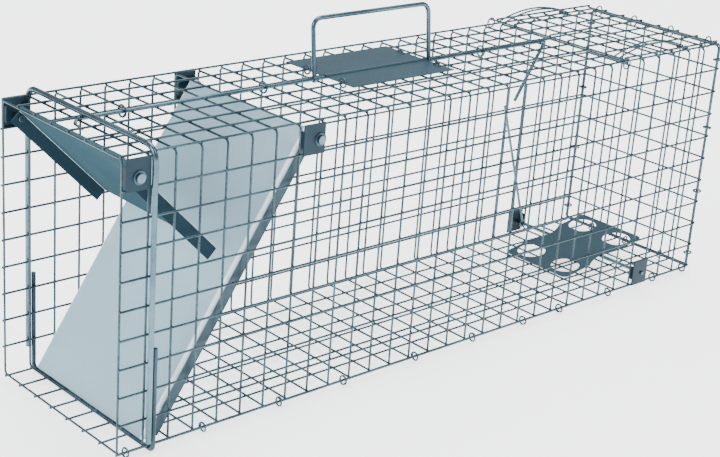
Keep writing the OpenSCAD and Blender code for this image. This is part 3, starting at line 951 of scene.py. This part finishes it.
@dataclass
class BaitDoor:
    """Mesh door over the rear of the top, its hinge clips and its two spring latches."""

    lines: tuple[float, ...] = tuple(23.75 + n for n in range(7))
    bead: float = 1.2
    clip_cells: tuple[float, ...] = (0.5, 2.5, 4.5, 6.5)
    legs: tuple[float, float] = (5.5, 12.5)
    latch_r: float = 0.9
    bar_out: float = -6.6
    bar_gap: float = 1.9
    bar_lift: float = 0.9
    pull_r: float = 5.0
    pull_wire_r: float = 0.8
    pull_in: float = 1.2
    pull_lift: float = 1.75
    rise: float = 9.0
    coil_deg: float = 540.0
    coil_rise: float = 0.45
    clip_r: float = 5.7
    clip_wire_r: float = 0.8

    @property
    def bar_x(self) -> float:
        """Place of a latch's cross bar along the cage."""
        return self.lines[0] * CAGE.pitch - CAGE.wire_r - self.bar_gap - self.latch_r

    def build(self) -> None:
        """Makes the door: cross wires, long wires on them, and a bead at each crossing."""
        c = CAGE
        door = Surface()
        first, last = self.lines[0] * c.pitch, self.lines[-1] * c.pitch
        z = c.hatch_z + c.layer
        for i in self.lines:
            sweep(door, [(i * c.pitch, -c.wire_r, c.hatch_z),
                         (i * c.pitch, c.width + c.wire_r, c.hatch_z)], c.wire_r)
        spots = []
        for j in range(c.wide_cells + 1):
            sweep(door, [(first - c.wire_r, j * c.pitch, z), (last + c.wire_r, j * c.pitch, z)],
                  c.wire_r)
            spots += [(i * c.pitch, j * c.pitch, c.hatch_z + c.layer / 2) for i in self.lines]
        beads(door, spots, self.bead)
        hand_over(door.build("bait_door_mesh"), Finish.WIRE, "bait_door", "mesh_wire", "bait_door")
        x, z = (last + c.length) / 2, (c.hatch_z + c.height) / 2
        clips("hinge_clips", "bait_door_hinge_clips",
              [((x, j * c.pitch, z), 1, self.clip_r, 80) for j in self.clip_cells],
              tube=self.clip_wire_r, rise=0.8)

    def leg(self, y: float) -> Array:
        """Gives the path of one latch leg: a coil around a cross wire, then a low bow.

        The coil is a helix of one and a half turns, which goes coil_rise aside for each radian.
        The bow runs from the coil's top to the cross bar, and its height over the straight
        line between them is rise * (1 - t * t), with t from -1 to 1.

        Args:
            y: Where the leg lies across the cage.

        Returns:
            Points of the path.
        """
        c = CAGE
        x = self.lines[4] * c.pitch
        coil = c.wire_r + c.gap + self.latch_r
        a = np.linspace(-math.radians(self.coil_deg), 0, 46)
        turns = np.stack([x + coil * np.sin(a), y + self.coil_rise * a,
                          c.hatch_z + coil * np.cos(a)], 1)
        t = np.linspace(-1, 1, 22)[1:]
        start_z, end_z = c.hatch_z + coil, c.hatch_z + self.bar_lift
        bow = np.stack([x + (self.bar_x - x) * (t + 1) / 2, np.full_like(t, y),
                        start_z + (end_z - start_z) * (t + 1) / 2 + self.rise * (1 - t * t)], 1)
        return np.concatenate([turns, bow])

    def build_latch(self, far: bool) -> None:
        """Makes one latch: two legs, the bar that joins them and the pull ring.

        Args:
            far: Whether it is the far side's latch.
        """
        c = CAGE
        front, z = self.bar_x, c.hatch_z + self.bar_lift

        def side(points: Array) -> Array:
            """Mirrors points to the far side where the latch is there.

            Args:
                points: Points of the near latch.

            Returns:
                Points of the latch being made.
            """
            points = np.array(points, float)
            if far:
                points[:, 1] = c.width - points[:, 1]
            return points

        latch = Surface()
        for y in self.legs:
            sweep(latch, side(self.leg(y)), self.latch_r, around=10)
        sweep(latch, side([(front, self.bar_out, z), (front, self.legs[1] + self.latch_r, z)]),
              self.latch_r, around=10)
        y = self.bar_out + self.pull_in
        torus(latch, (front, c.width - y if far else y, z - self.pull_r + self.pull_lift), 1,
              self.pull_r, self.pull_wire_r, steps=32)
        name = "latch_far" if far else "latch_near"
        hand_over(latch.build(f"spring_{name}"), Finish.SPRING, name, "spring_wire", name)


@dataclass
class FoldedSheet:
    """Sheet that runs down a slope from its pivot, with a flange turned back at each side."""

    name: str
    node: str
    body: str
    slot: str
    finish: Finish
    pivot: tuple[float, float]
    along: tuple[float, float]
    across: tuple[float, float]
    width: float
    face: float
    depth: float
    corner: float
    start: float
    end: float
    floor_z: float = -1e3
    thick: float = 1.0
    dish: float = 0.0
    ear_r: float = 0.0

    def outline(self, inset: float) -> Array:
        """Gives the sheet's line across its width: flange, bend, face, bend, flange.

        The bends are quarter circles of radius corner - inset. The face sinks by
        dish * cos(pi * y / width) in the middle.

        Args:
            inset: Distance in from the sheet's outer side.

        Returns:
            Rows of y, counted from the middle, and height over the pivot.
        """
        half, r = self.width / 2 - inset, self.corner - inset
        top, low = self.face - inset, self.face - self.depth
        a = np.linspace(0, np.pi / 2, 9)
        arc = np.stack([half - r + r * np.cos(a), top - r + r * np.sin(a)], axis=1)
        flange = np.stack([np.full(6, half), np.linspace(low, top - r, 7)[:-1]], axis=1)
        y = np.linspace(half - r, 0, 15)[1:]
        face = np.stack([y, np.full_like(y, top)], axis=1)
        right = np.concatenate([flange, arc, face])
        left = right[:-1][::-1] * [-1, 1]
        line = np.concatenate([right, left])
        inner = np.abs(line[:, 0]) < half - r
        line[inner, 1] -= self.dish * np.cos(np.pi * line[inner, 0] / self.width)
        return line

    def shell(self, surface: Surface, steps: int = 40) -> None:
        """Carries the outer and inner lines down the slope and joins their edges.

        A point is the pivot plus s * along plus h * across, with s from start to the end,
        or to where the sheet meets its lowest height.

        Args:
            surface: Where the shell goes.
            steps: Number of steps down the slope.
        """
        line = np.concatenate([self.outline(0), self.outline(self.thick)[::-1]])
        along, across = np.array(self.along), np.array(self.across)
        stop = np.full(len(line), self.end)
        if along[1] < 0:
            stop = np.minimum(stop, (self.pivot[1] + across[1] * line[:, 1] - self.floor_z)
                              / -along[1])
        t = np.linspace(0, 1, steps + 1)[:, None]
        s = self.start + (stop[None] - self.start) * t
        x = self.pivot[0] + s * along[0] + line[None, :, 1] * across[0]
        z = self.pivot[1] + s * along[1] + line[None, :, 1] * across[1]
        y = np.broadcast_to(CAGE.width / 2 + line[None, :, 0], x.shape)
        points = np.stack([x, y, z], axis=-1).reshape(-1, 3)
        n = len(line)
        j, k = closed(n)
        base = np.arange(steps)[:, None] * n
        sides = np.stack([base + j, base + k, base + n + k, base + n + j], -1).reshape(-1, 4)
        j = np.arange(n // 2 - 1)
        first = np.stack([j, n - 1 - j, n - 2 - j, j + 1], -1)
        last = np.stack([j + 1, n - 2 - j, n - 1 - j, j], -1) + steps * n
        quads = np.concatenate([sides, first, last])
        if along[0] * across[1] - along[1] * across[0] < 0:
            quads = quads[:, ::-1]
        surface.add(points, quads)

    def ear(self, surface: Surface, y: float) -> None:
        """Adds the round ear about the pivot on one flange, a disc a touch thicker than it.

        Args:
            surface: Where the shell goes.
            y: Middle of the flange's thickness.
        """
        n, edge, proud = 36, 0.25, 0.03
        a = np.linspace(0, 2 * np.pi, n, endpoint=False)
        half = self.thick / 2 + proud
        rings = [(self.ear_r - edge, -half), (self.ear_r, -half + edge),
                 (self.ear_r, half - edge), (self.ear_r - edge, half)]
        points = np.concatenate([
            np.stack([self.pivot[0] + r * np.cos(a), np.full_like(a, y + h),
                      self.pivot[1] + r * np.sin(a)], 1) for r, h in rings
        ] + [[(self.pivot[0], y - half, self.pivot[1]), (self.pivot[0], y + half, self.pivot[1])]])
        j, k = closed(n)
        quads = np.concatenate([np.stack([m + k, m + j, m + n + j, m + n + k], -1)
                                for m in (0, n, 2 * n)])
        tris = np.concatenate([np.stack([np.full(n, 4 * n), j, k], -1),
                               np.stack([np.full(n, 4 * n + 1), 3 * n + k, 3 * n + j], -1)])
        surface.add(points, quads, tris)

    def extra(self, surface: Surface) -> None:
        """Adds the round ears, where the sheet has them.

        Args:
            surface: Where the shells go.
        """
        if self.ear_r:
            for side in (-1, 1):
                self.ear(surface, CAGE.width / 2 + side * (self.width - self.thick) / 2)

    def build(self) -> None:
        """Makes the sheet as one piece."""
        surface = Surface()
        self.shell(surface)
        self.extra(surface)
        hand_over(surface.build(self.name), self.finish, self.body, self.slot, self.node)


@dataclass
class LockPlate(FoldedSheet):
    """Folded sheet with a lip along its front edge."""

    lip_lean_deg: float = 28.0
    lip_rise: float = 8.0
    lip_corner: float = 5.0

    def extra(self, surface: Surface) -> None:
        """Adds the lip: a strip with a rolled upper edge, carried across the plate.

        Its section is a straight strip that leans forward and ends in a half circle. Over
        the last r at each end it dips by r - sqrt(r * r - e * e), which rounds its corners,
        where r is the lip's corner radius and e runs from 0 to r.

        Args:
            surface: Where the shell goes.
        """
        a = math.radians(self.lip_lean_deg)
        up, out = np.array([-math.sin(a), math.cos(a)]), np.array([-math.cos(a), -math.sin(a)])
        mid = (np.array(self.pivot) + self.start * np.array(self.along)
               + (self.face - self.thick / 2) * np.array(self.across))
        roll = np.linspace(0, np.pi, 7)
        half = self.width / 2 - self.corner
        r = self.lip_corner
        round_off = r * (1 - np.cos(np.linspace(0, np.pi / 2, 7)))
        y = np.concatenate([-half + round_off, np.linspace(-half + r, half - r, 20)[1:-1],
                            half - round_off[::-1]])
        edge = np.clip(np.abs(y) - (half - r), 0, r)
        dip = r - np.sqrt(r * r - edge ** 2)
        side = np.concatenate([[0.0], np.cos(roll), [-1.0]]) * self.thick / 2
        rise = np.concatenate([[0.0], np.full(7, self.lip_rise - self.thick / 2), [0.0]])
        bulge = np.concatenate([[0.0], np.sin(roll), [0.0]]) * self.thick / 2
        height = np.maximum(rise[None] - dip[:, None] * (rise[None] > 0), 0) + bulge[None]
        xz = mid[None, None] + height[..., None] * up + side[None, :, None] * -out
        points = np.concatenate([xz[..., :1], np.broadcast_to(
            CAGE.width / 2 + y[:, None, None], (*height.shape, 1)), xz[..., 1:]], -1)
        m, n = height.shape
        j, k = closed(n)
        base = np.arange(m - 1)[:, None] * n
        quads = np.stack([base + j, base + n + j, base + n + k, base + k], -1).reshape(-1, 4)
        fan = np.arange(1, n - 1)
        ends = np.concatenate([np.stack([np.zeros_like(fan), fan, fan + 1], -1),
                               np.stack([np.zeros_like(fan), fan + 1, fan], -1) + (m - 1) * n])
        surface.add(points.reshape(-1, 3), quads, ends)


def folded_sheets() -> list[FoldedSheet]:
    """Gives both folded sheets.

    Returns:
        The drop door and the lock plate.
    """
    p, door_top = CAGE.pitch, 0.15
    slope = math.radians(57)
    door = FoldedSheet(
        name="door_sheet_metal", node="door_panel", body="door", slot="door_sheet",
        finish=Finish.DOOR, pivot=(7.74 * p, 9.46 * p),
        along=(-math.cos(slope), -math.sin(slope)), across=(-math.sin(slope), math.cos(slope)),
        width=168.0, face=0.45 * p, depth=13.5, corner=4.4, start=-door_top * p,
        end=(11.68 - door_top) * p, floor_z=1.5, dish=0.3, ear_r=7.0)
    slope = math.radians(45)
    plate = LockPlate(
        name="lock_plate_sheet_metal", node="lock_plate", body="lock_plate", slot="sheet",
        finish=Finish.LOCK, pivot=(0.53 * p, 9.39 * p),
        along=(math.cos(slope), -math.sin(slope)), across=(math.sin(slope), math.cos(slope)),
        width=166.0, face=4.5, depth=12.7, corner=1.6, start=-5.5, end=4.6 * p, dish=0.15)
    return [door, plate]


@dataclass
class SheetParts:
    """Cut and pressed parts, pins and washers: their CAD shapes with softened edges."""

    edge: float = 0.0003
    merge: float = 1e-6
    parts: dict[str, tuple[Finish, str]] = field(default_factory=lambda: {
        "handle_guard": (Finish.SHEET, "sheet"), "trip_pan": (Finish.SHEET, "sheet"),
        "lock_pins": (Finish.PIN, "pin_steel"), "door_pins": (Finish.PIN, "pin_steel"),
        "pin_washers": (Finish.WASHER, "pin_steel"),
        **{f"{use}_bracket_{side}": (Finish.BRACKET, "bracket_sheet")
           for use in ("lock", "door", "pan") for side in ("near", "far")},
    })

    def soften(self, node: str, finish: Finish, body: str, slot: str) -> None:
        """Makes a piece from a CAD node's shape, with its edges bevelled.

        Args:
            node: The CAD node.
            finish: The piece's finish.
            body: The CAD body it moves with.
            slot: Name of a material slot; passed on but not used.
        """
        mesh = frame["nodes"][node].data.copy()
        mesh.name = f"{node}_part"
        work = bmesh.new()
        work.from_mesh(mesh)
        bmesh.ops.remove_doubles(work, verts=work.verts, dist=self.merge)
        bmesh.ops.dissolve_limit(work, angle_limit=math.radians(1), verts=work.verts,
                                 edges=work.edges)
        work.to_mesh(mesh)
        work.free()
        mesh.materials.clear()
        if mesh.has_custom_normals:
            mesh.attributes.remove(mesh.attributes["custom_normal"])
        mesh.shade_smooth()
        mesh.set_sharp_from_angle(angle=math.radians(PART_SHARP_DEG))
        piece = stand(f"{node}_part", mesh)
        bevel = piece.modifiers.new("soft_edges", "BEVEL")
        bevel.width, bevel.segments, bevel.limit_method = self.edge, 2, "ANGLE"
        bevel.angle_limit = math.radians(SHARP_DEG)
        bevel.harden_normals = True
        hand_over(piece, finish, body, slot, node)

    def build(self) -> None:
        """Makes every part on the body that its node belongs to."""
        bodies = frame["record"]["behaviour"]["bodies"]
        for node, (finish, slot) in self.parts.items():
            body = next(name for name, nodes in bodies.items() if node in nodes)
            self.soften(node, finish, body, slot)


# ---- Studio ----


@dataclass(frozen=True)
class Lamp:
    """Square soft light: its place and side in metres, and its power in watts."""

    name: str
    at: Triple
    size: float
    power: float
    colour: Triple = (0.97, 0.99, 1.0)


@dataclass
class Studio:
    """Pale floor, soft light and the camera."""

    camera_at: Triple = (-1.0331, -1.0438, 0.6529)
    camera_turn: Triple = (69.148, -4.077, -41.861)
    lens: float = 79.03
    world: float = 0.55
    floor_tone: Triple = (0.98, 0.985, 0.99)
    floor_glow: float = 2.0
    floor_half: float = 30.0
    floor_drop: float = 0.0005
    aim: Triple = (0.0, 0.0, 0.12)
    sky_tone: Triple = (0.93, 0.97, 1.0)
    lamps: tuple[Lamp, ...] = (
        Lamp("front_window", (-3.4, -0.6, 2.2), 2.2, 110, (1.0, 1.0, 1.0)),
        Lamp("overhead", (0.8, 1.0, 3.6), 3.2, 195),
        Lamp("floor_wash", (1.5, -3.0, 4.0), 2.5, 78),
    )

    def floor(self) -> None:
        """Lays a wide pale floor just under the trap."""
        mesh = bpy.data.meshes.new("studio_floor")
        h = self.floor_half
        mesh.from_pydata([(-h, -h, 0), (h, -h, 0), (h, h, 0), (-h, h, 0)], [], [(0, 1, 2, 3)])
        obj = stand("studio_floor", mesh)
        obj.location.z = CAD_BOUNDS[0][2] - self.floor_drop
        d = Dress("studio_paper")
        d.fix(Base_Color=(*self.floor_tone, 1), Roughness=0.9, Specular_IOR_Level=0.1,
              Emission_Color=(1, 1, 1, 1), Emission_Strength=self.floor_glow)
        mesh.materials.append(d.material)

    def hang(self, lamp: Lamp) -> None:
        """Hangs one light so that it faces the trap.

        Args:
            lamp: The light's sizes.
        """
        data = bpy.data.lights.new(lamp.name, "AREA")
        data.shape, data.size = "SQUARE", lamp.size
        data.energy, data.color = lamp.power, lamp.colour
        obj = stand(lamp.name, data)
        obj.location = lamp.at
        aim = Vector(self.aim) - Vector(lamp.at)
        obj.rotation_euler = aim.to_track_quat("-Z", "Y").to_euler()

    def build(self) -> None:
        """Makes the floor, the world, three soft lights and the camera."""
        self.floor()
        world = bpy.data.worlds.new("studio_world")
        world.use_nodes = True
        back = world.node_tree.nodes["Background"]
        back.inputs["Color"].default_value = (*self.sky_tone, 1)
        back.inputs["Strength"].default_value = self.world
        bpy.context.scene.world = world
        for lamp in self.lamps:
            self.hang(lamp)
        data = bpy.data.cameras.new("studio_camera")
        data.lens, data.sensor_width, data.sensor_fit = self.lens, 36.0, "HORIZONTAL"
        camera = stand("studio_camera", data)
        camera.location = self.camera_at
        camera.rotation_euler = Euler([math.radians(a) for a in self.camera_turn], "XYZ")
        bpy.context.scene.camera = camera


def main() -> None:
    """Builds every sub-assembly in order, then the studio."""
    logging.basicConfig(level=logging.INFO, format="%(name)s: %(message)s")
    cage = MeshCage()
    cage.build_mesh()
    cage.build_rear()
    cage.build_rings()
    FrontFrame().build()
    handle = Handle()
    handle.build()
    handle.build_rings()
    Trigger().build()
    TripArm().build()
    bait = BaitDoor()
    bait.build()
    bait.build_latch(far=False)
    bait.build_latch(far=True)
    for folded in folded_sheets():
        folded.build()
    SheetParts().build()
    Studio().build()


if __name__ == "__main__":
    main()
